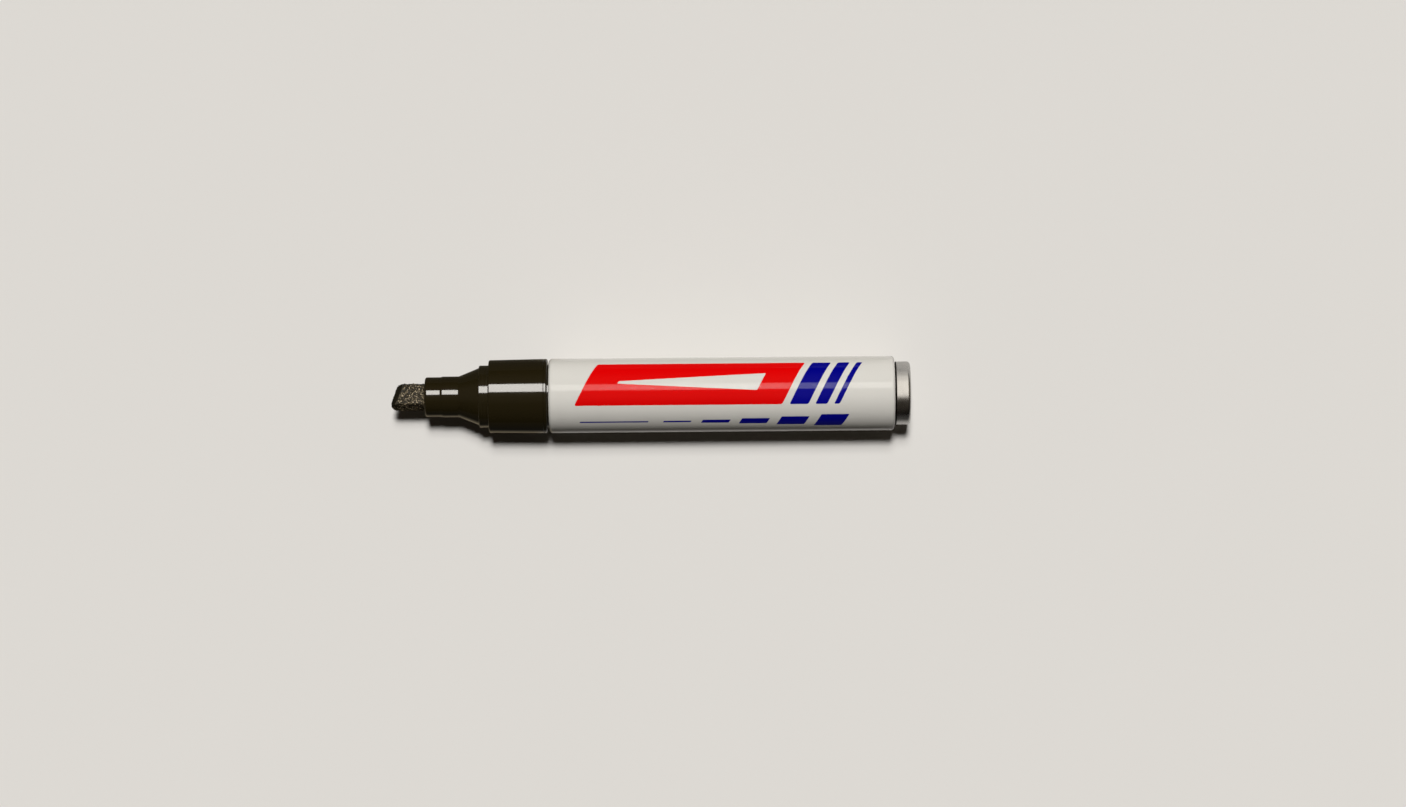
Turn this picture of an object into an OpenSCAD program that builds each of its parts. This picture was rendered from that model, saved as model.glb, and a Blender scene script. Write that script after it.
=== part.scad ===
// Permanent marker with a bold chisel nib, uncapped, lying on its side with the nib towards -X.
// Every piece is modelled upright along its own axis, from the tail face at 0 to the writing tip,
// and lay_down() then puts the finished marker on its side, resting on the plane z = 0.

/* [Barrel] */
// Outer diameter of the barrel
barrel_d = 17.5; // [16.5:0.1:20]
// Length of the barrel over its two rolled ends
barrel_len = 81.0; // [70:0.2:110]
// Wall of the aluminium tube
barrel_wall = 0.5; // [0.4:0.05:0.6]
// Outer bend radius of the two rolled-in ends
roll_r = 0.8; // [0.65:0.05:0.9]
// How far the rolled-in ends reach inwards from the barrel's outside
roll_depth = 1.2; // [1.0:0.05:1.4]

/* [Tail plug] */
// Length of the stub that shows behind the barrel
tail_len = 3.7; // [3:0.1:6]
// Rounding of the stub's rear edge
tail_round = 0.8; // [0.2:0.1:1.2]
// Thickness of the plug's end wall
tail_wall = 1.0; // [0.8:0.1:2]
// Length of the flange that the rolled end traps inside the barrel
flange_len = 4.0; // [3:0.5:8]
// Width of the relief turned at the stub's root
relief_w = 0.3; // [0.2:0.05:0.8]
// Depth of that relief
relief_depth = 0.5; // [0.1:0.05:0.6]

/* [Front section] */
// Gap between the barrel's front edge and the collar
seam_gap = 0.3; // [0.1:0.05:0.6]
// Length of the collar
collar_len = 13.8; // [8:0.2:24]
// How much narrower the collar is at its front, on the radius
collar_draft = 0.2; // [0:0.05:0.4]
// Rounding of the collar's front edge
collar_front_round = 0.3; // [0.1:0.05:0.6]
// Rounding of the collar's rear edge
collar_rear_round = 0.45; // [0.4:0.05:0.9]
// Width of the plain rim between that rounding and the collar's witness line
rim_w = 0.3; // [0.1:0.05:0.8]
// Diameter of the ring that the cap seats on
ring_d = 14.6; // [13.6:0.1:15.2]
// Length of that ring
ring_len = 2.3; // [1.5:0.05:4]
// Step from the cone up to the ring, on the radius
ring_step = 0.55; // [0.1:0.05:0.8]
// Rounding of the ring's front edge
ring_round = 0.22; // [0.05:0.01:0.3]
// Length of the cone between the ring and the nib tube
cone_len = 4.8; // [3:0.05:8]
// Diameter of the nib tube
tube_d = 9.6; // [9:0.1:11]
// Length of the nib tube behind its lip
tube_len = 4.3; // [3:0.1:8]
// Step from the nib tube down to its lip, on the radius
lip_step = 0.15; // [0.05:0.05:0.3]
// Length of the slope at that step
lip_slope = 0.55; // [0.2:0.05:1]
// Length of the lip
lip_len = 3.6; // [2:0.1:6]
// Rounding of the lip's front edge
lip_round = 0.5; // [0.2:0.05:0.8]
// Length of the spigot inside the barrel
spigot_len = 8.5; // [6:0.5:16]
// Number of sealing beads on the spigot
bead_count = 2; // [1:1:3]
// Wall between the neck's groove and the reservoir
neck_wall = 0.85; // [0.6:0.05:1.1]
// Wall of the ring, of the cone and of the collar's front
front_wall = 1.4; // [1.0:0.05:1.8]
// Number of ribs that stop the reservoir
rib_count = 6; // [4:1:8]
// Thickness of those ribs
rib_t = 0.8; // [0.5:0.1:1.2]
// How far the ribs hold the reservoir off the collar's front wall
rib_stand = 1.6; // [1:0.1:3]

/* [Nib] */
// Length of the nib that shows
nib_out = 8.0; // [6:0.1:12]
// Whole length of the nib
nib_len = 34; // [31:0.5:42]
// Width of the nib across its broad face
nib_w = 5.4; // [4.6:0.1:5.8]
// Thickness of the nib
nib_t = 4.2; // [3.2:0.1:4.6]
// Rounding of the nib's long edges
nib_round = 0.4; // [0.2:0.05:0.8]
// Slant of the writing edge
nib_slant = 17; // [0:1:30]
// Thickness left at the writing edge
nib_edge_t = 1.0; // [0.6:0.1:1.6]
// Length of the two bevels that lead to the writing edge
nib_bevel_len = 1.4; // [0.8:0.1:3]
// Rounding of the writing edge's two corners
nib_corner_r = 0.9; // [0.2:0.05:1.2]
// Length of the pointed tail that enters the reservoir
nib_tail_len = 3; // [1:0.5:6]
// Turn of the nib about the marker's axis
nib_roll = 24; // [-90:1:90]

/* [Reservoir] */
// Thickness of the film round the fibre core
film_t = 0.15; // [0.1:0.05:0.3]
// Width of the film's lengthwise breather slit
slit_w = 0.8; // [0.4:0.1:2]
// Chamfer on the fibre core's ends
core_chamfer = 0.4; // [0.1:0.1:0.8]

/* [Fits] */
// Gap all round between the nib and its slot
nib_clear = 0.14; // [0.1:0.01:0.25]
// Gap between the nib and the crush ribs that hold it
grip_clear = 0.04; // [0.02:0.01:0.08]
// Gap all round between the nib's tail and the reservoir's socket
socket_clear = 0.25; // [0.2:0.05:0.4]
// Gap between a rolled end and the neck or stub that passes through it
neck_fit = 0.125; // [0.05:0.025:0.2]
// Gap between the barrel's bore and the spigot or flange in it
bore_fit = 0.05; // [0.03:0.01:0.1]
// Gap between a bead and the barrel's bore
bead_fit = 0.01; // [0.01:0.01:0.03]
// Gap round and behind the reservoir
reservoir_fit = 0.15; // [0.1:0.05:0.3]
// Gap between the fibre core and its film
film_fit = 0.02; // [0.01:0.01:0.05]

/* [Hidden] */
$fn = 96;

// Radii
barrel_r = barrel_d / 2;
bore_r = barrel_r - barrel_wall;
roll_bore_r = barrel_r - roll_depth;
neck_r = roll_bore_r - neck_fit;
spigot_r = bore_r - bore_fit;
cavity_r = neck_r - neck_wall;
tail_r = roll_bore_r - neck_fit;
relief_wall = 0.25;
relief_r = max(tail_r - relief_depth, cavity_r + relief_wall);
ring_r = ring_d / 2;
cone_r = ring_r - ring_step;
tube_r = tube_d / 2;
lip_r = tube_r - lip_step;
collar_front_r = barrel_r - collar_draft;
film_r = cavity_r - reservoir_fit;
core_r = film_r - film_t - film_fit;

// Stations along the axis, from the tail face
barrel_z = tail_len;
barrel_front_z = barrel_z + barrel_len;
flange_z = barrel_z + barrel_wall + bore_fit;
spigot_front_z = barrel_front_z - barrel_wall - bore_fit;
spigot_z = spigot_front_z - spigot_len;
collar_z = barrel_front_z + seam_gap;
ring_z = collar_z + collar_len;
cone_z = ring_z + ring_len;
tube_z = cone_z + cone_len;
lip_z = tube_z + tube_len;
mouth_z = lip_z + lip_len;
overall_len = mouth_z + nib_out;
nib_z = overall_len - nib_len;

// Inside of the front section: a straight cavity, a shoulder, then a cone up to the nib's guide
nib_half_diagonal = norm([nib_w / 2, nib_t / 2]);
rib_in_r = nib_half_diagonal + socket_clear;
rib_land = 0.3;
rib_root = 0.3;
guide_r = rib_in_r + rib_land;
shoulder_z = ring_z - front_wall;
ring_bore_r = min(cavity_r, ring_r - front_wall);
cone_bore_r = cone_r - front_wall;
guide_z = cone_z + cone_len * (cone_bore_r - guide_r) / (cone_r - tube_r);
rib_z = shoulder_z - rib_stand;
lead_in = 0.5;

// Reservoir between the plug's end wall and the ribs
reservoir_z = tail_wall + reservoir_fit;
reservoir_front_z = rib_z - reservoir_fit;

// Small features of the mouldings
seat_round = roll_r - barrel_wall;
bead_r = 0.5;
witness_w = 0.2;
witness_depth = 0.1;
vent_r = 0.45;
crush_r = 0.3;
crush_pitch = nib_w / 2;
over = 1;

// How far the writing edge's rounded corner would stay behind a sharp one
nib_setback = nib_corner_r * (tan(nib_slant) + 1 / cos(nib_slant) - 1);

// Puts an upright piece on its side: its axis to -X, its +X side up
module lay_down() {
    translate([overall_len / 2, 0, barrel_r]) rotate([0, -90, 0]) children();
}

// Half section of a disc from z0 to z1, with its outer edges rounded
module disc_section(r, z0, z1, round0 = 0, round1 = 0) {
    translate([0, z0 + round0]) square([r, z1 - z0 - round0 - round1]);
    if (round0 > 0) {
        translate([0, z0]) square([r - round0, 2 * round0]);
        translate([r - round0, z0 + round0]) circle(round0);
    }
    if (round1 > 0) {
        translate([0, z1 - 2 * round1]) square([r - round1, 2 * round1]);
        translate([r - round1, z1 - round1]) circle(round1);
    }
}

// Half section of the tube's wall bent inwards at an end that lies at height z
module rolled_end(z) {
    translate([barrel_r - roll_r, z - roll_r]) intersection() {
        difference() {
            circle(roll_r);
            circle(roll_r - barrel_wall);
        }
        square(roll_r);
    }
    translate([roll_bore_r, z - barrel_wall]) square([roll_depth - roll_r, barrel_wall]);
}

// Outline of the nib across its axis, grown by a gap
module nib_section(gap = 0) {
    r = nib_round + gap;
    x = nib_t / 2 + gap;
    y = nib_w / 2 + gap;
    square([2 * x, 2 * (y - r)], center = true);
    square([2 * (x - r), 2 * y], center = true);
    for (sx = [-1, 1], sy = [-1, 1])
        translate([sx * (x - r), sy * (y - r)]) circle(r);
}

module barrel() {
    color([0.93, 0.93, 0.90]) lay_down() rotate_extrude() {
        translate([bore_r, barrel_z + roll_r]) square([barrel_wall, barrel_len - 2 * roll_r]);
        rolled_end(barrel_front_z);
        mirror([0, 1]) rolled_end(-barrel_z);
    }
}

// Outside of the front section, from the spigot's rear edge to the mouth
module front_outline() {
    side_z0 = collar_z + collar_rear_round;
    side_z1 = ring_z - collar_front_round;
    bead_step = spigot_len / (bead_count + 1);
    difference() {
        union() {
            disc_section(lip_r, lip_z - over, mouth_z, 0, lip_round);
            polygon([
                [0, cone_z],
                [cone_r, cone_z],
                [tube_r, tube_z],
                [tube_r, lip_z - lip_slope],
                [lip_r, lip_z],
                [0, lip_z]
            ]);
            disc_section(ring_r, ring_z - over, cone_z, 0, ring_round);
            polygon([
                [0, collar_z],
                [barrel_r - collar_rear_round, collar_z],
                [barrel_r, side_z0],
                [collar_front_r, side_z1],
                [collar_front_r - collar_front_round, ring_z],
                [0, ring_z]
            ]);
            translate([barrel_r - collar_rear_round, side_z0]) circle(collar_rear_round);
            translate([collar_front_r - collar_front_round, side_z1]) circle(collar_front_round);
            translate([0, spigot_front_z - over]) square([neck_r, collar_z - spigot_front_z + 2 * over]);
            disc_section(spigot_r, spigot_z, spigot_front_z, lead_in, seat_round);
            for (i = [1 : bead_count])
                translate([bore_r - bead_fit - bead_r, spigot_z + i * bead_step]) circle(bead_r);
        }
        // Witness line that sets the rear rim off from the collar's side
        translate([barrel_r, side_z0 + rim_w + witness_w / 2]) polygon([
            [-witness_depth, 0],
            [witness_depth, -witness_w],
            [witness_depth, witness_w]
        ]);
    }
}

// Space for the reservoir, with a lead-in at its open end, a shoulder and a cone at its front
module front_cavity() {
    rotate_extrude() polygon([
        [0, spigot_z - over],
        [cavity_r + lead_in + over, spigot_z - over],
        [cavity_r, spigot_z + lead_in],
        [cavity_r, shoulder_z],
        [ring_bore_r, shoulder_z],
        [cone_bore_r, cone_z],
        [guide_r, guide_z],
        [0, guide_z]
    ]);
}

// One rib of the ring that stops the reservoir and lets air pass it
module stop_rib() {
    rotate([90, 0, 0]) translate([0, 0, -rib_t / 2]) linear_extrude(rib_t) polygon([
        [rib_in_r, rib_z],
        [cavity_r + rib_root, rib_z],
        [cavity_r + rib_root, shoulder_z + rib_root],
        [ring_bore_r + rib_root, shoulder_z + rib_root],
        [cone_bore_r + rib_root, cone_z],
        [guide_r + rib_root, guide_z],
        [guide_r + rib_root, guide_z + rib_root],
        [rib_in_r, guide_z + rib_root]
    ]);
}

// The nib's slot, with an air vent at each narrow side and crush ribs on the broad sides
module nib_slot() {
    difference() {
        union() {
            nib_section(nib_clear);
            for (s = [-1, 1]) translate([0, s * (nib_w / 2 + nib_clear)]) circle(vent_r);
        }
        for (sx = [-1, 1], sy = [-1, 1])
            translate([sx * (nib_t / 2 + grip_clear + crush_r), sy * crush_pitch / 2])
                circle(crush_r);
    }
}

module front_section() {
    color([0.06, 0.06, 0.065]) lay_down() difference() {
        union() {
            difference() {
                rotate_extrude() front_outline();
                front_cavity();
            }
            for (i = [0 : rib_count - 1])
                rotate([0, 0, nib_roll + 360 / rib_count * (i + 0.5)]) stop_rib();
        }
        rotate([0, 0, nib_roll]) translate([0, 0, guide_z - over])
            linear_extrude(mouth_z - guide_z + 2 * over) nib_slot();
    }
}

module tail_plug() {
    cup_z = tail_wall;
    flange_end_z = flange_z + flange_len;
    color([0.78, 0.78, 0.77]) lay_down() rotate_extrude() difference() {
        union() {
            disc_section(tail_r, 0, barrel_z - relief_w, tail_round, 0);
            translate([0, tail_round]) square([relief_r, flange_z + over - tail_round]);
            disc_section(spigot_r, flange_z, flange_end_z, seat_round, lead_in);
        }
        polygon([
            [0, cup_z],
            [cavity_r, cup_z],
            [cavity_r, flange_end_z - lead_in],
            [cavity_r + lead_in + over, flange_end_z + over],
            [0, flange_end_z + over]
        ]);
    }
}

// The nib seen on its broad face: width along X, axis along Y, the leading corner at -X
module nib_face() {
    half = nib_w / 2;
    y0 = nib_len - nib_corner_r;
    y1 = y0 - (nib_w - 2 * nib_corner_r) * tan(nib_slant);
    lead_x = -half + nib_corner_r;
    trail_x = half - nib_corner_r;
    polygon([
        [-half, 0],
        [half, 0],
        [half, y1],
        [trail_x + nib_corner_r * sin(nib_slant), y1 + nib_corner_r * cos(nib_slant)],
        [lead_x + nib_corner_r * sin(nib_slant), y0 + nib_corner_r * cos(nib_slant)],
        [-half, y0]
    ]);
    translate([lead_x, y0]) circle(nib_corner_r);
    translate([trail_x, y1]) circle(nib_corner_r);
}

// The two bevels, square to the slanted writing edge: everything that they leave
module nib_wedge() {
    edge_z = nib_len + nib_setback - nib_w / 2 * tan(nib_slant);
    translate([0, 0, edge_z]) rotate([-nib_slant, 0, 0]) rotate([90, 0, 0])
        translate([0, 0, -nib_len]) linear_extrude(2 * nib_len) polygon([
            [-nib_t, -2 * nib_len],
            [nib_t, -2 * nib_len],
            [nib_t, -nib_bevel_len],
            [nib_t / 2, -nib_bevel_len],
            [nib_edge_t / 2, 0],
            [nib_edge_t / 2, nib_t],
            [-nib_edge_t / 2, nib_t],
            [-nib_edge_t / 2, 0],
            [-nib_t / 2, -nib_bevel_len],
            [-nib_t, -nib_bevel_len]
        ]);
}

module nib() {
    tail_tip_r = nib_edge_t;
    color([0.13, 0.13, 0.14]) lay_down() rotate([0, 0, nib_roll]) translate([0, 0, nib_z])
        intersection() {
            linear_extrude(nib_len + over) nib_section();
            rotate([90, 0, 90]) translate([0, 0, -nib_t]) linear_extrude(2 * nib_t) nib_face();
            nib_wedge();
            union() {
                cylinder(h = nib_tail_len, r1 = tail_tip_r, r2 = nib_half_diagonal);
                translate([0, 0, nib_tail_len]) cylinder(h = nib_len, r = nib_half_diagonal);
            }
        }
}

module ink_reservoir() {
    socket_z = nib_z - socket_clear;
    c = core_chamfer;
    color([0.12, 0.12, 0.14]) lay_down() difference() {
        rotate_extrude() polygon([
            [0, reservoir_z],
            [core_r - c, reservoir_z],
            [core_r, reservoir_z + c],
            [core_r, reservoir_front_z - c],
            [core_r - c, reservoir_front_z],
            [0, reservoir_front_z]
        ]);
        rotate([0, 0, nib_roll]) translate([0, 0, socket_z])
            linear_extrude(reservoir_front_z - socket_z + over) nib_section(socket_clear);
    }
}

module reservoir_film() {
    film_len = reservoir_front_z - reservoir_z;
    color([0.80, 0.85, 0.88, 0.5]) lay_down() translate([0, 0, reservoir_z]) difference() {
        cylinder(h = film_len, r = film_r);
        translate([0, 0, -over]) cylinder(h = film_len + 2 * over, r = film_r - film_t);
        translate([0, -slit_w / 2, -over]) cube([film_r + over, slit_w, film_len + 2 * over]);
    }
}

barrel();
front_section();
tail_plug();
nib();
ink_reservoir();
reservoir_film();
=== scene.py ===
import math
import bmesh
import bpy
from mathutils import Matrix, Vector


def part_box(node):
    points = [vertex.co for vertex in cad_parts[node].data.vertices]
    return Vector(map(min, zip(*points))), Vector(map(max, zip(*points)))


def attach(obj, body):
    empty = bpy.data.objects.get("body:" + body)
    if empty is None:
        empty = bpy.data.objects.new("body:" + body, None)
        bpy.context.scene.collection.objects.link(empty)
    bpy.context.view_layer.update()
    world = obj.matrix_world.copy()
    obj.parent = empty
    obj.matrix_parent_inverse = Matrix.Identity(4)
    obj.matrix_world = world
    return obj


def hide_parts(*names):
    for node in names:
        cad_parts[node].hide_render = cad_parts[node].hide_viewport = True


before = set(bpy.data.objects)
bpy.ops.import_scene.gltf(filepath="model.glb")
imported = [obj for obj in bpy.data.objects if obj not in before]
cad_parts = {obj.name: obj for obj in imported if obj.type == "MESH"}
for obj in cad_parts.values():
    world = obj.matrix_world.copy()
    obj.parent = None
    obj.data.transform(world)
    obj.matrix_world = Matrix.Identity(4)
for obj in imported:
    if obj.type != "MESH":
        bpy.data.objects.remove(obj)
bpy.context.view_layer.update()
mm = 0.001
weldGap = 0.001 * mm   # points closer than this become one
usualNoise = (0.3, 0.7)   # where the values of a noise mostly lie
barrelLow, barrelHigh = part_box("barrel")
tailLow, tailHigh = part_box("tail_plug")
axisHeight = (barrelLow.z + barrelHigh.z) / 2
barrelRadius = (barrelHigh.z - barrelLow.z) / 2


# Small helpers for node trees

def addNode(tree, kind, inputs=(), **settings):
    node = tree.nodes.new(kind)
    for key, value in settings.items():
        setattr(node, key, value)
    for key, value in dict(inputs).items():
        if isinstance(value, bpy.types.NodeSocket):
            tree.links.new(value, node.inputs[key])
        else:
            node.inputs[key].default_value = value
    return node


def calc(tree, operation, *terms):
    return addNode(tree, "ShaderNodeMath", enumerate(terms), operation=operation).outputs[0]


def splitAxes(tree, place):
    return addNode(tree, "ShaderNodeSeparateXYZ", {"Vector": place}).outputs


def joinAxes(tree, **axes):
    return addNode(tree, "ShaderNodeCombineXYZ", axes).outputs[0]


def spread(tree, factor, low, high, start=0.0, end=1.0, curve="LINEAR"):
    return addNode(tree, "ShaderNodeMapRange", {
        "Value": factor, "From Min": start, "From Max": end, "To Min": low, "To Max": high},
        interpolation_type=curve).outputs[0]


def mixNumber(tree, factor, first, second):
    return addNode(tree, "ShaderNodeMix", {0: factor, 2: first, 3: second}, data_type="FLOAT").outputs[0]


def newTree(name, kind, inputs, output):
    tree = bpy.data.node_groups.new(name, kind)
    for label, socket in inputs.items():
        tree.interface.new_socket(label, in_out="INPUT", socket_type="NodeSocket" + socket)
    tree.interface.new_socket(output[0], in_out="OUTPUT", socket_type="NodeSocket" + output[1])
    return tree, addNode(tree, "NodeGroupInput").outputs, addNode(tree, "NodeGroupOutput").inputs


def runTree(piece, tree, values):
    modifier = piece.modifiers.new(tree.name, "NODES")
    modifier.node_group = tree
    for item in tree.interface.items_tree:
        if item.in_out == "INPUT" and item.name in values:
            modifier[item.identifier] = values[item.name]
    bpy.context.view_layer.update()
    finished = piece.evaluated_get(bpy.context.evaluated_depsgraph_get())
    mesh = bpy.data.meshes.new_from_object(finished)
    piece.modifiers.clear()
    piece.data = mesh
    mesh.name = piece.name
    return piece


def newPiece(name, mesh):
    piece = bpy.data.objects.new(name, mesh)
    bpy.context.scene.collection.objects.link(piece)
    return piece


# Small helpers for materials

def newMaterial(name, **sockets):
    material = bpy.data.materials.new(name)
    material.use_nodes = True
    tree = material.node_tree
    tree.nodes.clear()
    shader = addNode(tree, "ShaderNodeBsdfPrincipled")
    for label, value in sockets.items():
        shader.inputs[label.replace("_", " ")].default_value = value
    addNode(tree, "ShaderNodeOutputMaterial", {"Surface": shader.outputs["BSDF"]})
    place = addNode(tree, "ShaderNodeTexCoord").outputs["Object"]
    return material, tree, shader, place


def noise(tree, place, size, detail=2.0, stretch=(1, 1, 1)):
    scaled = addNode(tree, "ShaderNodeMapping", {"Vector": place, "Scale": [s / size for s in stretch]})
    return addNode(tree, "ShaderNodeTexNoise", {
        "Vector": scaled.outputs[0], "Scale": 1.0, "Detail": detail}).outputs["Fac"]


def shaded(colour, level):
    return tuple(level * c for c in colour)


def tint(tree, factor, first, second):
    mixer = addNode(tree, "ShaderNodeMix", data_type="RGBA")
    for socket, value in ((mixer.inputs[0], factor), (mixer.inputs[6], first), (mixer.inputs[7], second)):
        if isinstance(value, bpy.types.NodeSocket):
            tree.links.new(value, socket)
        elif isinstance(value, tuple):
            socket.default_value = (*value, 1.0)
        else:
            socket.default_value = value
    return mixer.outputs[2]


def setLook(tree, shader, colour, roughness, height, depth):
    bump = addNode(tree, "ShaderNodeBump", {"Height": height, "Strength": 1.0, "Distance": depth})
    tree.links.new(colour, shader.inputs["Base Color"])
    tree.links.new(roughness, shader.inputs["Roughness"])
    tree.links.new(bump.outputs[0], shader.inputs["Normal"])


# Where a point lies: along the marker, its distance from the axis and its angle round it
def roundTheAxis(tree, place):
    x, y, z = splitAxes(tree, place)
    up = calc(tree, "SUBTRACT", z, axisHeight)
    squares = calc(tree, "ADD", calc(tree, "MULTIPLY", y, y), calc(tree, "MULTIPLY", up, up))
    return x, calc(tree, "SQRT", squares), calc(tree, "ARCTAN2", y, up)


# Turned shells: a half section swept round the marker's axis

turningPlan = {
    "segments": 256, "arcSteps": 10,   # steps round the axis, and in each rounded corner
    "sharpAngle": 35.0,   # an edge that bends more than this stays crisp, degrees
}


def roundedPath(corners):
    steps = turningPlan["arcSteps"]
    path = []
    for i, (x, r, *fillet) in enumerate(corners):
        here = Vector((x, r))
        if not fillet:
            path.append(here)
            continue
        back = (Vector(corners[i - 1][:2]) - here).normalized()
        ahead = (Vector(corners[(i + 1) % len(corners)][:2]) - here).normalized()
        half = back.angle(ahead) / 2
        centre = here + (back + ahead).normalized() * fillet[0] / math.sin(half)
        spoke = here + back * fillet[0] / math.tan(half) - centre
        sweep = math.copysign(math.pi - 2 * half, spoke.x * ahead.y - spoke.y * ahead.x)
        path += [centre + Matrix.Rotation(sweep * k / steps, 2) @ spoke for k in range(steps + 1)]
    return path


def turnedTree():
    tree, given, result = newTree("turnedShell", "GeometryNodeTree", {
        "Half Section": "Geometry", "Segments": "Int", "Closing Rows": "Int",
        "Axis Height": "Float", "Sharp Angle": "Float", "Finish": "Material"}, ("Shell", "Geometry"))
    points = addNode(tree, "GeometryNodeAttributeDomainSize", {
        "Geometry": given["Half Section"]}).outputs["Point Count"]
    columns = calc(tree, "ADD", given["Segments"], 1)
    grid = addNode(tree, "GeometryNodeMeshGrid", {
        "Vertices X": calc(tree, "ADD", points, given["Closing Rows"]), "Vertices Y": columns})
    index = addNode(tree, "GeometryNodeInputIndex").outputs[0]
    # half a step added, so that no rounding drops a row
    row = calc(tree, "FLOOR", calc(tree, "DIVIDE", calc(tree, "ADD", index, 0.5), columns))
    column = calc(tree, "SUBTRACT", index, calc(tree, "MULTIPLY", row, columns))
    sample = addNode(tree, "GeometryNodeSampleIndex", data_type="FLOAT_VECTOR", domain="POINT")
    tree.links.new(given["Half Section"], sample.inputs["Geometry"])
    tree.links.new(addNode(tree, "GeometryNodeInputPosition").outputs[0], sample.inputs["Value"])
    tree.links.new(calc(tree, "MODULO", row, points), sample.inputs["Index"])
    x, _, r = splitAxes(tree, sample.outputs[0])
    angle = calc(tree, "DIVIDE", calc(tree, "MULTIPLY", column, math.tau), given["Segments"])
    across = calc(tree, "MULTIPLY", r, calc(tree, "SINE", angle))
    up = calc(tree, "MULTIPLY_ADD", r, calc(tree, "COSINE", angle), given["Axis Height"])
    swept = addNode(tree, "GeometryNodeSetPosition", {
        "Geometry": grid.outputs["Mesh"], "Position": joinAxes(tree, X=x, Y=across, Z=up)})
    closed = addNode(tree, "GeometryNodeMergeByDistance", {
        "Geometry": swept.outputs[0], "Distance": weldGap})
    smooth = addNode(tree, "GeometryNodeSetShadeSmooth", {"Geometry": closed.outputs[0]}, domain="FACE")
    bends = addNode(tree, "GeometryNodeInputMeshEdgeAngle").outputs["Unsigned Angle"]
    crisp = addNode(tree, "FunctionNodeCompare", {
        0: bends, 1: given["Sharp Angle"]}, operation="GREATER_THAN")
    creased = addNode(tree, "GeometryNodeSetShadeSmooth", {
        "Geometry": smooth.outputs[0], "Selection": crisp.outputs[0], "Shade Smooth": False}, domain="EDGE")
    real = addNode(tree, "GeometryNodeRealizeInstances", {"Geometry": creased.outputs[0]})
    done = addNode(tree, "GeometryNodeSetMaterial", {
        "Geometry": real.outputs[0], "Material": given["Finish"]})
    tree.links.new(done.outputs[0], result["Shell"])
    return tree


def turnedPiece(name, corners, finish, closed):
    path = [point * mm for point in roundedPath(corners)]
    section = bpy.data.meshes.new(name)
    section.from_pydata([(p.x, 0, p.y) for p in path], [(i, i + 1) for i in range(len(path) - 1)], [])
    piece = runTree(newPiece(name, section), turnedShell, {
        "Segments": turningPlan["segments"], "Closing Rows": 1 if closed else 0, "Axis Height": axisHeight,
        "Sharp Angle": math.radians(turningPlan["sharpAngle"]), "Finish": finish})
    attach(piece, "marker")
    return piece


turnedShell = turnedTree()

# Barrel: a lacquered tube with both ends rolled in, printed with slanted patches

barrelPlan = {
    "wall": 0.5, "rollRound": 0.8, "rollDepth": 1.2, "lipRound": 0.12,   # mm
    "white": (0.665, 0.64, 0.585), "red": (0.70, 0.0008, 0.0012), "blue": (0.0008, 0.001, 0.21),
    "cloudSize": 9.0, "cloudRange": (0.35, 0.65), "cloudShade": 0.985,   # faint clouds in the white, mm
    "smearSize": 3.0, "smearStretch": (0.3, 1, 1), "roughness": (0.05, 0.10),   # smears lie lengthwise
    "peelSize": 1.6, "reliefDepth": 0.006, "printHeight": 0.6,   # mm, and the print's share of that depth
    "edge": 0.06,   # softness of the print's edges, mm
    "slant": 0.5,   # how far an end leans, mm along for each mm round
    # each patch: ink, start and end along, low and high round in mm from the top, taper, corner
    "patches": [
        ("red", -15.0, 33.5, -2.4, 8.6, 0.0, 0.5),
        ("white", -7.5, 26.0, 1.0, 5.2, 0.86, 0.25),
        ("blue", 35.2, 39.6, -2.4, 8.6, 0.0, 0.4),
        ("blue", 41.2, 44.0, -2.4, 8.6, 0.0, 0.4),
        ("blue", 45.6, 46.9, -2.4, 8.6, 0.0, 0.3),
        ("blue", -16.5, -0.5, -7.1, -6.7, 0.0, 0.1),
    ],
    # a row of dashes that grow thicker towards the tail, mm
    "dashStart": 3.0, "dashLength": 6.5, "dashStep": 9.0, "dashMiddle": -6.9, "dashCorner": 0.15,
    "dashHeights": (0.5, 1.0, 1.7, 2.6, 3.7),
}


def printPatches():
    plan = barrelPlan
    patches = list(plan["patches"])
    for i, height in enumerate(plan["dashHeights"]):
        start = plan["dashStart"] + i * plan["dashStep"]
        low = plan["dashMiddle"] - height / 2
        high = plan["dashMiddle"] + height / 2
        patches.append(("blue", start, start + plan["dashLength"], low, high, 0.0, plan["dashCorner"]))
    return patches


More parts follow.
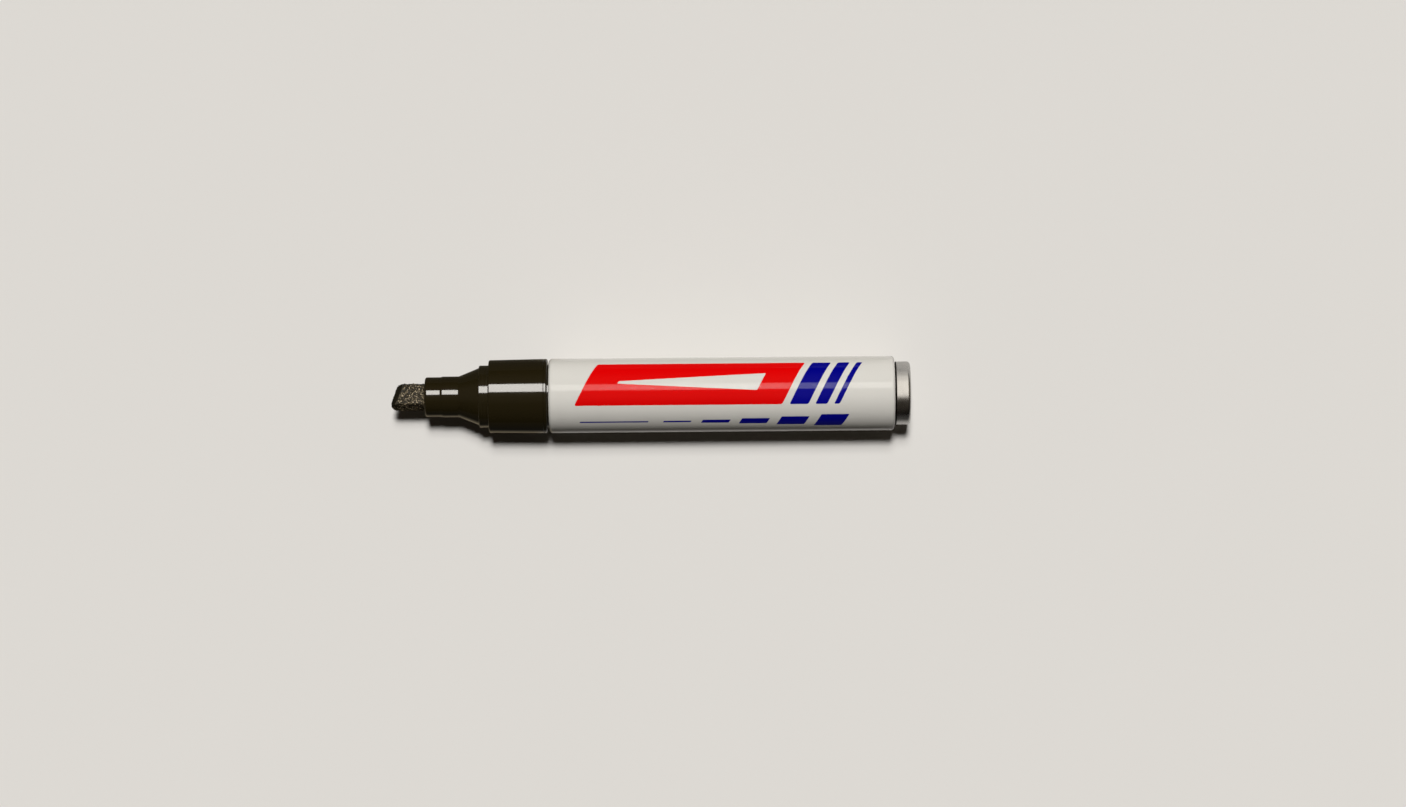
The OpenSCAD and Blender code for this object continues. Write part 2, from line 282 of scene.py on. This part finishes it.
def patchTree():
    numbers = ("Along", "Round", "Start", "End", "Low", "High", "Slant", "Taper", "Corner", "Edge")
    tree, given, result = newTree("slantedPatch", "ShaderNodeTree", {n: "Float" for n in numbers},
                                  ("Mask", "Float"))

    def mid(a, b):
        return calc(tree, "MULTIPLY", calc(tree, "ADD", given[a], given[b]), 0.5)

    def half(a, b):
        return calc(tree, "MULTIPLY", calc(tree, "SUBTRACT", given[b], given[a]), 0.5)

    over = calc(tree, "SUBTRACT", given["Round"], mid("Low", "High"))
    slid = calc(tree, "SUBTRACT", given["Along"], calc(tree, "MULTIPLY", given["Slant"], over))
    left = calc(tree, "DIVIDE", calc(tree, "SUBTRACT", given["End"], slid),
                calc(tree, "SUBTRACT", given["End"], given["Start"]))
    tall = calc(tree, "MULTIPLY", half("Low", "High"),
                calc(tree, "SUBTRACT", 1.0, calc(tree, "MULTIPLY", given["Taper"], left)))
    # distance to a rectangle with rounded corners
    beside = calc(tree, "SUBTRACT", slid, mid("Start", "End"))
    reach = []
    for offset, size in ((beside, half("Start", "End")), (over, tall)):
        past = calc(tree, "SUBTRACT", calc(tree, "ABSOLUTE", offset), size)
        reach.append(calc(tree, "ADD", past, given["Corner"]))
    outside = [calc(tree, "POWER", calc(tree, "MAXIMUM", past, 0.0), 2.0) for past in reach]
    inside = calc(tree, "MINIMUM", calc(tree, "MAXIMUM", *reach), 0.0)
    toCorner = calc(tree, "ADD", calc(tree, "SQRT", calc(tree, "ADD", *outside)), inside)
    distance = calc(tree, "SUBTRACT", toCorner, given["Corner"])
    mask = addNode(tree, "ShaderNodeClamp", {
        "Value": calc(tree, "SUBTRACT", 0.5, calc(tree, "DIVIDE", distance, given["Edge"]))})
    tree.links.new(mask.outputs[0], result["Mask"])
    return tree


def barrelFinish():
    plan = barrelPlan
    material, tree, shader, place = newMaterial("printedLacquer", Specular_IOR_Level=0.5)
    x, _, angle = roundTheAxis(tree, place)
    along = calc(tree, "DIVIDE", x, mm)
    around = calc(tree, "MULTIPLY", angle, barrelRadius / mm)
    slanted = patchTree()
    clouds = spread(tree, noise(tree, place, plan["cloudSize"] * mm), 0.0, 1.0, *plan["cloudRange"])
    colour = tint(tree, clouds, shaded(plan["white"], plan["cloudShade"]), plan["white"])
    printed = 0.0
    for ink, start, end, low, high, taper, corner in printPatches():
        mask = addNode(tree, "ShaderNodeGroup", {
            "Along": along, "Round": around, "Start": start, "End": end, "Low": low, "High": high,
            "Taper": taper, "Corner": corner, "Slant": plan["slant"], "Edge": plan["edge"]},
            node_tree=slanted).outputs["Mask"]
        colour = tint(tree, mask, colour, plan[ink])
        printed = calc(tree, "MAXIMUM", printed, mask)
    smears = noise(tree, place, plan["smearSize"] * mm, detail=4.0, stretch=plan["smearStretch"])
    peel = noise(tree, place, plan["peelSize"] * mm, detail=1.0)   # the lacquer's faint unevenness
    setLook(tree, shader, colour, spread(tree, smears, *plan["roughness"], *usualNoise),
            calc(tree, "MULTIPLY_ADD", printed, plan["printHeight"], peel), plan["reliefDepth"] * mm)
    return material


def makeBarrel():
    plan = barrelPlan
    front = barrelLow.x / mm
    rear = barrelHigh.x / mm
    r = barrelRadius / mm
    wall, bend, small = plan["wall"], plan["rollRound"], plan["lipRound"]
    lip = r - plan["rollDepth"]
    bore = r - wall
    barrel = turnedPiece("barrel_tube", [
        (front, r, bend), (rear, r, bend), (rear, lip, small), (rear - wall, lip, small),
        (rear - wall, bore, bend - wall), (front + wall, bore, bend - wall),
        (front + wall, lip, small), (front, lip, small)], barrelFinish(), closed=True)
    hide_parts("barrel")
    print("barrel: %d faces, %d printed patches" % (len(barrel.data.polygons), len(printPatches())))
    return barrel


# Tail plug: a turned aluminium cup whose stub shows behind the barrel

tailPlan = {
    "stubRadius": 7.425, "rearRound": 0.8, "relief": (0.3, 0.5),   # mm, the relief by its width and depth
    "seat": 0.55, "seatRound": 0.3, "leadIn": 0.4, "cupWall": 1.0, "cupRadius": 6.575,   # mm
    # the dark colour is painted shade in the relief against the barrel
    "metal": (0.90, 0.885, 0.86), "reliefShadeColour": (0.030, 0.024, 0.018),
    "shadeReach": 0.06, "shadedBandRoughness": 0.4,   # how far the painted shade reaches out of the relief, mm, and how dull it is there
    "lineStep": 0.09, "lineDrift": 0.05, "lineShade": 0.9,   # tool marks, mm
    "broadSteps": 8, "broadHeight": 0.6,   # broader ones, so many lines wide and of that share in height
    "smearSize": 2.0, "roughness": (0.22, 0.29), "reliefDepth": 0.004,   # mm
}


def tailFinish():
    plan = tailPlan
    material, tree, shader, place = newMaterial("turnedAluminium", Metallic=1.0)
    x, away, angle = roundTheAxis(tree, place)
    # tool marks run round the stub and in rings on its end, and drift a little along their way
    drift = calc(tree, "MULTIPLY", angle, plan["lineDrift"] * mm)
    lines = joinAxes(tree, X=calc(tree, "ADD", x, away), Y=drift)
    fine = noise(tree, lines, plan["lineStep"] * mm, detail=3.0)
    broad = noise(tree, lines, plan["broadSteps"] * plan["lineStep"] * mm, detail=1.0)
    marks = calc(tree, "MULTIPLY_ADD", broad, plan["broadHeight"], fine)
    bright = tint(tree, spread(tree, fine, 0.0, 1.0, *usualNoise),
                  shaded(plan["metal"], plan["lineShade"]), plan["metal"])
    # painted shade: the relief against the barrel, and a little beyond it, is coloured dark and dull
    reliefEnd = barrelHigh.x + (plan["relief"][0] + plan["shadeReach"]) * mm
    shadedRelief = spread(tree, x, 1.0, 0.0, reliefEnd, reliefEnd + 2 * plan["shadeReach"] * mm)
    smears = noise(tree, place, plan["smearSize"] * mm, detail=3.0)
    dull = spread(tree, smears, *plan["roughness"], *usualNoise)
    setLook(tree, shader, tint(tree, shadedRelief, bright, plan["reliefShadeColour"]),
            calc(tree, "MULTIPLY_ADD", shadedRelief, plan["shadedBandRoughness"], dull), marks, plan["reliefDepth"] * mm)
    return material


def makeTail():
    plan = tailPlan
    front = tailLow.x / mm
    rear = tailHigh.x / mm
    flange = (tailHigh.z - tailLow.z) / 2 / mm
    shoulder = barrelHigh.x / mm
    stub, cup = plan["stubRadius"], plan["cupRadius"]
    width, depth = plan["relief"]
    neck = stub - depth
    seat = shoulder - plan["seat"]
    cupEnd = rear - plan["cupWall"]
    tail = turnedPiece("tail_stub", [
        (rear, 0), (rear, stub, plan["rearRound"]), (shoulder + width, stub), (shoulder + width, neck),
        (seat, neck), (seat, flange, plan["seatRound"]), (front, flange, plan["leadIn"]),
        (front, cup), (cupEnd, cup), (cupEnd, 0)], tailFinish(), closed=False)
    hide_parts("tail_plug")
    print("tail stub: %d faces" % len(tail.data.polygons))
    return tail


# Front section: the moulded solid itself, in glossy black with the cap's rub marks on its ring

frontPlan = {
    "black": (0.0148, 0.0107, 0.0035), "rubbed": (0.020, 0.016, 0.0085),
    "ring": (14.1, 16.4),   # the ring that the cap slides over, mm ahead of the barrel
    "rubSize": 2.0, "rubSqueeze": 30.0, "rubTurn": 1.5,   # mm, times finer along, and mm for each radian
    "rubRange": (0.5, 0.75), "rubRoughness": 0.12,
    "hazeSize": 2.5, "hazeStretch": (0.4, 1, 1), "roughness": (0.06, 0.11),   # haze lies lengthwise, mm
    "grainSize": 1.2, "reliefDepth": 0.002,   # mm
}


def frontFinish():
    plan = frontPlan
    material, tree, shader, place = newMaterial("blackMoulding", Specular_IOR_Level=0.4)
    x, _, angle = roundTheAxis(tree, place)
    rear, front = (barrelLow.x - ahead * mm for ahead in plan["ring"])
    onRing = calc(tree, "MULTIPLY", calc(tree, "GREATER_THAN", x, front), calc(tree, "LESS_THAN", x, rear))
    swirl = joinAxes(tree, X=calc(tree, "MULTIPLY", x, plan["rubSqueeze"]),
                     Y=calc(tree, "MULTIPLY", angle, plan["rubTurn"] * mm))
    marks = spread(tree, noise(tree, swirl, plan["rubSize"] * mm), 0.0, 1.0, *plan["rubRange"])
    rub = calc(tree, "MULTIPLY", onRing, marks)
    haze = noise(tree, place, plan["hazeSize"] * mm, detail=4.0, stretch=plan["hazeStretch"])
    dull = spread(tree, haze, *plan["roughness"], *usualNoise)
    setLook(tree, shader, tint(tree, rub, plan["black"], plan["rubbed"]),
            calc(tree, "MULTIPLY_ADD", rub, plan["rubRoughness"], dull),
            noise(tree, place, plan["grainSize"] * mm), plan["reliefDepth"] * mm)
    return material


def dressFront():
    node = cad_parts["front_section"]
    node.material_slots[0].material = frontFinish()
    print("front section: carried over")
    return node


# Nib: the felt bar, its surface sunk into grooves and lumps and laid with loose fibres

nibPlan = {
    "cell": 0.11, "sink": 0.1,   # size of the surface's cells, and how far it lies below the bar's size, mm
    "grooveLength": 1.4, "grooveWidth": 0.3, "grooveHeight": 0.08,   # mm
    "lumpSize": 0.34, "lumpHeight": 0.28,   # mm
    "grooveMiddle": 0.55, "lumpMiddle": 0.5, "lumpTones": (0.46, 0.64),   # levels of their noise
    "fibreLength": 0.6, "fibreRadius": 0.055, "fibreSteps": 3, "fibreSides": 3,   # mm, and how it is meshed
    "fibreBend": 0.3, "fibreSway": 0.8, "fibreSizes": (0.5, 1.15),   # shares of half its length, run, size
    "fibresPerMm2": 9.0, "thickFor": 9.8, "thinShare": 0.2,   # mm from the tip, and the share behind that
    "seed": 7,
    # the pale fibres are partly their own pale tone and partly painted glints
    "deep": (0.008, 0.0055, 0.0008), "plain": (0.027, 0.019, 0.006), "pale": (0.62, 0.49, 0.31),
    "plainTones": (0.0, 0.5), "paleAndGlintTones": (0.73, 1.0),   # the fibre tones over which each colour comes in
    "wetSlant": 0.5, "wetEdge": (0.0, 0.6),   # the wet band's lean along for each mm across, its fade in mm
    "dampSize": 0.5, "roughness": (0.45, 0.8),   # mm
    "strandSize": 0.12, "strandStretch": (0.3, 1, 1), "reliefDepth": 0.02,   # mm
}


def feltTree():
    plan = nibPlan
    sizes = ("Groove Length", "Groove Width", "Groove Height", "Lump Size", "Lump Height", "Sink",
             "Fibre Length", "Fibre Radius", "Fibre Density", "Thin Behind")
    tree, given, result = newTree("feltBar", "GeometryNodeTree", {
        "Bar": "Geometry", **{label: "Float" for label in sizes}, "Seed": "Int", "Finish": "Material"},
        ("Felt", "Geometry"))

    def storeTone(shape, value, domain):
        return addNode(tree, "GeometryNodeStoreNamedAttribute", {
            "Geometry": shape, "Name": "fibreTone", "Value": value},
            data_type="FLOAT", domain=domain).outputs[0]

    place = addNode(tree, "GeometryNodeInputPosition").outputs[0]
    slim = calc(tree, "DIVIDE", 1.0, given["Groove Width"])
    scale = joinAxes(tree, X=calc(tree, "DIVIDE", 1.0, given["Groove Length"]), Y=slim, Z=slim)
    drawnOut = addNode(tree, "ShaderNodeVectorMath", {0: place, 1: scale}, operation="MULTIPLY")
    groove = addNode(tree, "ShaderNodeTexNoise", {
        "Vector": drawnOut.outputs[0], "Scale": 1.0, "Detail": 2.0}).outputs["Fac"]
    lump = addNode(tree, "ShaderNodeTexNoise", {
        "Vector": place, "Scale": calc(tree, "DIVIDE", 1.0, given["Lump Size"]),
        "Detail": 2.0}).outputs["Fac"]
    grooved = calc(tree, "MULTIPLY", calc(tree, "SUBTRACT", groove, plan["grooveMiddle"]),
                   given["Groove Height"])
    height = calc(tree, "MULTIPLY_ADD", calc(tree, "SUBTRACT", lump, plan["lumpMiddle"]),
                  given["Lump Height"], grooved)
    height = calc(tree, "SUBTRACT", height, given["Sink"])   # the fibres come up to the bar's size again
    outwards = addNode(tree, "GeometryNodeInputNormal").outputs[0]
    shift = addNode(tree, "ShaderNodeVectorMath", {0: outwards, "Scale": height}, operation="SCALE")
    bar = addNode(tree, "GeometryNodeSetPosition", {
        "Geometry": given["Bar"], "Offset": shift.outputs[0]}).outputs[0]
    tonedBar = storeTone(bar, spread(tree, lump, 0.0, 1.0, *plan["lumpTones"]), "POINT")
    # one fibre: a short, slightly arched strand
    reach = calc(tree, "MULTIPLY", given["Fibre Length"], 0.5)
    bend = calc(tree, "MULTIPLY", reach, plan["fibreBend"])
    strand = addNode(tree, "GeometryNodeCurveQuadraticBezier", {
        "Resolution": plan["fibreSteps"],
        "Start": joinAxes(tree, X=calc(tree, "MULTIPLY", reach, -1.0)),
        "Middle": joinAxes(tree, Y=bend, Z=given["Fibre Radius"]),
        "End": joinAxes(tree, X=reach)}).outputs[0]
    ring = addNode(tree, "GeometryNodeCurvePrimitiveCircle", {
        "Resolution": plan["fibreSides"], "Radius": given["Fibre Radius"]}).outputs["Curve"]
    fibre = addNode(tree, "GeometryNodeCurveToMesh", {
        "Curve": strand, "Profile Curve": ring, "Fill Caps": True}).outputs[0]
    # fibres lie along the bar, swayed and of many sizes
    behind = calc(tree, "GREATER_THAN", splitAxes(tree, place)["X"], given["Thin Behind"])
    density = calc(tree, "MULTIPLY", given["Fibre Density"], spread(tree, behind, 1.0, plan["thinShare"]))
    spots = addNode(tree, "GeometryNodeDistributePointsOnFaces", {
        "Mesh": bar, "Density": density, "Seed": given["Seed"]}, distribute_method="RANDOM").outputs
    swing = plan["fibreSway"]
    sway = addNode(tree, "FunctionNodeRandomValue", {
        0: (0.0, -swing, -swing), 1: (1.0, swing, swing), "Seed": given["Seed"]}, data_type="FLOAT_VECTOR")
    flat = addNode(tree, "FunctionNodeAlignRotationToVector", {"Vector": spots["Normal"]}, axis="Z")
    turn = addNode(tree, "FunctionNodeAlignRotationToVector", {
        "Rotation": flat.outputs[0], "Vector": sway.outputs[0]}, axis="X", pivot_axis="Z")
    smallest, largest = plan["fibreSizes"]
    size = addNode(tree, "FunctionNodeRandomValue", {
        2: smallest, 3: largest, "Seed": given["Seed"]}, data_type="FLOAT")
    laid = addNode(tree, "GeometryNodeInstanceOnPoints", {
        "Points": spots["Points"], "Instance": fibre, "Rotation": turn.outputs[0],
        "Scale": size.outputs[1]}).outputs[0]
    shade = addNode(tree, "FunctionNodeRandomValue", {
        "Seed": calc(tree, "ADD", given["Seed"], 1)}, data_type="FLOAT")
    tonedFibres = storeTone(laid, shade.outputs[1], "INSTANCE")
    joined = addNode(tree, "GeometryNodeJoinGeometry")
    tree.links.new(tonedBar, joined.inputs[0])
    tree.links.new(tonedFibres, joined.inputs[0])
    real = addNode(tree, "GeometryNodeRealizeInstances", {"Geometry": joined.outputs[0]})
    smooth = addNode(tree, "GeometryNodeSetShadeSmooth", {"Geometry": real.outputs[0]})
    done = addNode(tree, "GeometryNodeSetMaterial", {
        "Geometry": smooth.outputs[0], "Material": given["Finish"]})
    tree.links.new(done.outputs[0], result["Felt"])
    return tree


def nibFinish():
    plan = nibPlan
    material, tree, shader, place = newMaterial("inkedFelt", Specular_IOR_Level=0.2)
    tone = addNode(tree, "ShaderNodeAttribute", attribute_name="fibreTone").outputs["Fac"]
    dark = tint(tree, spread(tree, tone, 0.0, 1.0, *plan["plainTones"]), plan["deep"], plan["plain"])
    # pale fibres come in: partly their own tone, partly painted glints
    felt = tint(tree, spread(tree, tone, 0.0, 1.0, *plan["paleAndGlintTones"]), dark, plan["pale"])
    # the writing edge is soaked
    x, y, _ = splitAxes(tree, place)
    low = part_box("nib")[0]
    lean = calc(tree, "MULTIPLY", calc(tree, "SUBTRACT", y, low.y), plan["wetSlant"])
    behind = calc(tree, "SUBTRACT", calc(tree, "SUBTRACT", x, low.x), lean)
    soaked = spread(tree, behind, 1.0, 0.0, *(reach * mm for reach in plan["wetEdge"]))
    damp = noise(tree, place, plan["dampSize"] * mm, detail=3.0)
    strands = noise(tree, place, plan["strandSize"] * mm, stretch=plan["strandStretch"])
    setLook(tree, shader, tint(tree, soaked, felt, plan["deep"]),
            spread(tree, damp, *plan["roughness"], *usualNoise), strands, plan["reliefDepth"] * mm)
    return material


def makeNib():
    plan = nibPlan
    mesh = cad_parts["nib"].data.copy()
    shape = bmesh.new()
    shape.from_mesh(mesh)
    bmesh.ops.remove_doubles(shape, verts=shape.verts, dist=weldGap)
    shape.to_mesh(mesh)
    shape.free()
    nib = newPiece("felt_nib", mesh)
    cells = nib.modifiers.new("evenCells", "REMESH")
    cells.mode = "VOXEL"
    cells.voxel_size = plan["cell"] * mm
    cells.use_smooth_shade = True
    runTree(nib, feltTree(), {
        "Groove Length": plan["grooveLength"] * mm, "Groove Width": plan["grooveWidth"] * mm,
        "Groove Height": plan["grooveHeight"] * mm, "Lump Size": plan["lumpSize"] * mm,
        "Lump Height": plan["lumpHeight"] * mm, "Sink": plan["sink"] * mm,
        "Thin Behind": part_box("nib")[0].x + plan["thickFor"] * mm,
        "Fibre Length": plan["fibreLength"] * mm, "Fibre Radius": plan["fibreRadius"] * mm,
        "Fibre Density": plan["fibresPerMm2"] / mm ** 2, "Seed": plan["seed"], "Finish": nibFinish()})
    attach(nib, "nib")
    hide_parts("nib")
    print("nib: %d faces" % len(nib.data.polygons))
    return nib


# Ink core: the fibre bundle inside the barrel

corePlan = {
    "ink": (0.006, 0.006, 0.008), "fibre": (0.03, 0.03, 0.034), "roughness": (0.5, 0.9),
    "strandSize": 0.25, "strandStretch": (0.05, 1, 1), "reliefDepth": 0.05,   # mm
}


def dressCore():
    plan = corePlan
    material, tree, shader, place = newMaterial("inkedFibre")
    strands = noise(tree, place, plan["strandSize"] * mm, detail=3.0, stretch=plan["strandStretch"])
    setLook(tree, shader, tint(tree, strands, plan["ink"], plan["fibre"]),
            spread(tree, strands, *plan["roughness"]), strands, plan["reliefDepth"] * mm)
    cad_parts["ink_reservoir"].material_slots[0].material = material
    print("ink core: carried over")


# Film: the clear wrap round the core

filmPlan = {
    "clear": (0.75, 0.8, 0.83), "creaseShade": 0.9, "roughness": (0.08, 0.2),
    "creaseSize": 2.0, "creaseStretch": (0.2, 1, 1), "reliefDepth": 0.02,   # mm
}


def dressFilm():
    plan = filmPlan
    material, tree, shader, place = newMaterial("clearFilm", Transmission_Weight=0.8, IOR=1.5)
    creases = noise(tree, place, plan["creaseSize"] * mm, stretch=plan["creaseStretch"])
    setLook(tree, shader, tint(tree, creases, shaded(plan["clear"], plan["creaseShade"]), plan["clear"]),
            spread(tree, creases, *plan["roughness"]), creases, plan["reliefDepth"] * mm)
    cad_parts["reservoir_film"].material_slots[0].material = material
    print("film: carried over")


# Floor: a pale plane with painted reflections, which the gloss sees bright beside the marker alone

floorPlan = {
    "size": 6.0, "colour": (0.73, 0.705, 0.665),   # this size and the fades below are in metres
    "cloudSize": 40.0, "cloudShade": 0.99,   # mm
    "bounce": (0.15, 0.8), "bounceFade": (-0.01, 0.01),   # light thrown back, painted less on the shadow's side
    "gloss": (0.05, 0.95), "glossFade": (0.013, 0.022),   # mirrored floor, painted dark away from the marker
    "stubGloss": 0.56, "stubFade": (-0.034, -0.013),   # painted weaker and wider beside the stub
    "frontDim": 0.88, "frontFade": (-0.028, -0.020),   # painted dimmer behind the black front
    "frontReflectionTint": (0.43, 0.36, 0.245),   # and a painted brown reflection beside it
}


def makeFloor():
    plan = floorPlan
    side = plan["size"] / 2
    corners = [(-side, -side, 0), (side, -side, 0), (side, side, 0), (-side, side, 0)]
    mesh = bpy.data.meshes.new("floor")
    mesh.from_pydata(corners, [], [(0, 1, 2, 3)])
    floor = newPiece("floor", mesh)
    material, tree, shader, place = newMaterial("paleFloor", Specular_IOR_Level=0.2, Roughness=0.7)
    ray = addNode(tree, "ShaderNodeLightPath").outputs
    x, y, _ = splitAxes(tree, place)
    clouds = noise(tree, place, plan["cloudSize"] * mm)
    seen = tint(tree, clouds, shaded(plan["colour"], plan["cloudShade"]), plan["colour"])
    # as the gloss sees it: painted reflections, dark away from the marker, dimmer behind the black front and
    # browner beside it
    beyond = spread(tree, y, 0.0, 1.0, *plan["bounceFade"])
    atFront = spread(tree, x, 1.0, 0.0, *plan["frontFade"])
    dimmed = calc(tree, "MULTIPLY", calc(tree, "MULTIPLY", atFront, plan["frontDim"]), beyond)
    near = mixNumber(tree, calc(tree, "GREATER_THAN", x, barrelHigh.x),
                     spread(tree, calc(tree, "ABSOLUTE", y), 1.0, 0.0, *plan["glossFade"]),
                     spread(tree, y, 0.0, plan["stubGloss"], *plan["stubFade"]))
    share = calc(tree, "MULTIPLY", near, calc(tree, "SUBTRACT", 1.0, dimmed))
    faint, mirrored = (shaded(plan["colour"], level) for level in plan["gloss"])
    gloss = tint(tree, share, faint, tint(tree, atFront, mirrored, plan["frontReflectionTint"]))
    # and as it lights the marker, painted less bright on the shadow's side
    dim, full = (shaded(plan["colour"], level) for level in plan["bounce"])
    bounced = tint(tree, ray["Is Glossy Ray"], tint(tree, beyond, dim, full), gloss)
    tree.links.new(tint(tree, ray["Is Camera Ray"], bounced, seen), shader.inputs["Base Color"])
    mesh.materials.append(material)
    print("floor: %.0f m square" % plan["size"])


# Lamps: soft keys for the shade and the shadow, and long panels for the gloss

lampPlan = {
    # each key: angle from straight up, blur, strength, and whether the barrel alone is lit or all but it
    "keys": [
        (16.7, 9.0, 2.34, "EXCLUDE"),
        (23.5, 11.0, 0.93, "EXCLUDE"),
        (23.5, 12.0, 3.35, "INCLUDE"),
    ],
    "panelAway": 0.8, "panelTint": (1.0, 0.965, 0.905),   # metres
    # each panel: pieces lit, from and to along in metres, lowest and highest angle from straight up, level
    "panels": [
        (("front", "nib"), -0.25, 0.40, 14.0, 38.5, 18.75),
        (("barrel",), -0.25, 0.40, 16.0, 34.5, 2.15),
        (("tail",), -0.10, 0.45, -13.5, 45.0, 0.79),
        (("tail",), -0.10, 0.45, 45.0, 65.0, 0.62),
        (("tail",), -0.10, 0.45, 65.0, 88.0, 0.43),
    ],
}


def hangLamp(name, kind, angle, litPieces, linkState="INCLUDE"):
    lamp = bpy.data.objects.new(name, bpy.data.lights.new(name, kind))
    bpy.context.scene.collection.objects.link(lamp)
    lamp.rotation_euler = (-math.radians(angle), 0, 0)
    lit = bpy.data.collections.new(name + "Lights")
    for piece in litPieces:
        lit.objects.link(piece)
    for item in lit.collection_objects:
        item.light_linking.link_state = linkState
    lamp.light_linking.receiver_collection = lit
    return lamp


def makeLamps(pieces):
    plan = lampPlan
    for angle, blur, strength, linkState in plan["keys"]:
        key = hangLamp("softKey", "SUN", angle, [pieces["barrel"]], linkState)
        key.data.energy = strength
        key.data.angle = math.radians(blur)
        key.visible_glossy = False
    for names, start, end, lowest, highest, level in plan["panels"]:
        angle = (lowest + highest) / 2
        panel = hangLamp("lampPanel", "AREA", angle, [pieces[name] for name in names])
        panel.data.color = plan["panelTint"]
        panel.data.shape = "RECTANGLE"
        panel.data.size = end - start
        panel.data.size_y = 2 * plan["panelAway"] * math.tan(math.radians(highest - lowest) / 2)
        panel.data.energy = level * math.pi * panel.data.size * panel.data.size_y
        towards = Vector((0, math.sin(math.radians(angle)), math.cos(math.radians(angle))))
        panel.location = towards * plan["panelAway"]
        panel.location.x = (start + end) / 2
        panel.visible_diffuse = False   # only for the gloss
    print("lamps: %d keys, %d panels" % (len(plan["keys"]), len(plan["panels"])))


# Sky: a dim fill, which the gloss sees brighter overhead and on the key's side

skyPlan = {
    "colour": (0.82, 0.68, 0.52), "fill": 0.022, "low": 0.028, "high": 0.16,
    "rise": (-0.5, 0.0), "fall": (0.5, 1.0), "fallTo": 0.5,   # across the marker, from -1 to 1
    "clear": (0.1, 0.6),   # dark along the horizon
}


def makeSky():
    plan = skyPlan
    world = bpy.data.worlds.new("studioSky")
    bpy.context.scene.world = world
    world.use_nodes = True
    tree = world.node_tree
    tree.nodes.clear()
    _, y, z = splitAxes(tree, addNode(tree, "ShaderNodeTexCoord").outputs["Generated"])
    rise = spread(tree, y, plan["low"], plan["high"], *plan["rise"], curve="SMOOTHSTEP")
    fall = spread(tree, y, 1.0, plan["fallTo"], *plan["fall"], curve="SMOOTHSTEP")
    clear = spread(tree, z, 0.0, 1.0, *plan["clear"], curve="SMOOTHSTEP")
    mirrored = calc(tree, "MULTIPLY", calc(tree, "MULTIPLY", rise, fall), clear)
    ray = addNode(tree, "ShaderNodeLightPath").outputs
    level = mixNumber(tree, ray["Is Glossy Ray"], plan["fill"], mirrored)
    seen = mixNumber(tree, ray["Is Camera Ray"], level, 1.0)
    glow = addNode(tree, "ShaderNodeBackground", {"Color": (*plan["colour"], 1.0), "Strength": seen})
    addNode(tree, "ShaderNodeOutputWorld", {"Surface": glow.outputs[0]})
    print("sky: fill %.3f, gloss up to %.2f" % (plan["fill"], plan["high"]))


# Camera: straight above, turned a little, as the photo was taken

cameraPlan = {
    "overAxis": 1000.0, "frameWidth": 330.3, "aside": (12.3, -2.05),   # mm
    "turn": -0.5,   # degrees
}


def makeCamera():
    plan = cameraPlan
    camera = bpy.data.objects.new("camera", bpy.data.cameras.new("camera"))
    bpy.context.scene.collection.objects.link(camera)
    camera.data.lens = camera.data.sensor_width * plan["overAxis"] / plan["frameWidth"]
    camera.location = (plan["aside"][0] * mm, plan["aside"][1] * mm, axisHeight + plan["overAxis"] * mm)
    camera.rotation_euler = (0, 0, math.radians(plan["turn"]))
    bpy.context.scene.camera = camera
    print("camera: %.0f mm above the axis" % plan["overAxis"])


makeCamera()
pieces = {"barrel": makeBarrel(), "tail": makeTail(), "front": dressFront(), "nib": makeNib()}
dressCore()
dressFilm()
makeFloor()
makeLamps(pieces)
makeSky()
bpy.context.scene.view_settings.view_transform = "Standard"
print("scene ready")
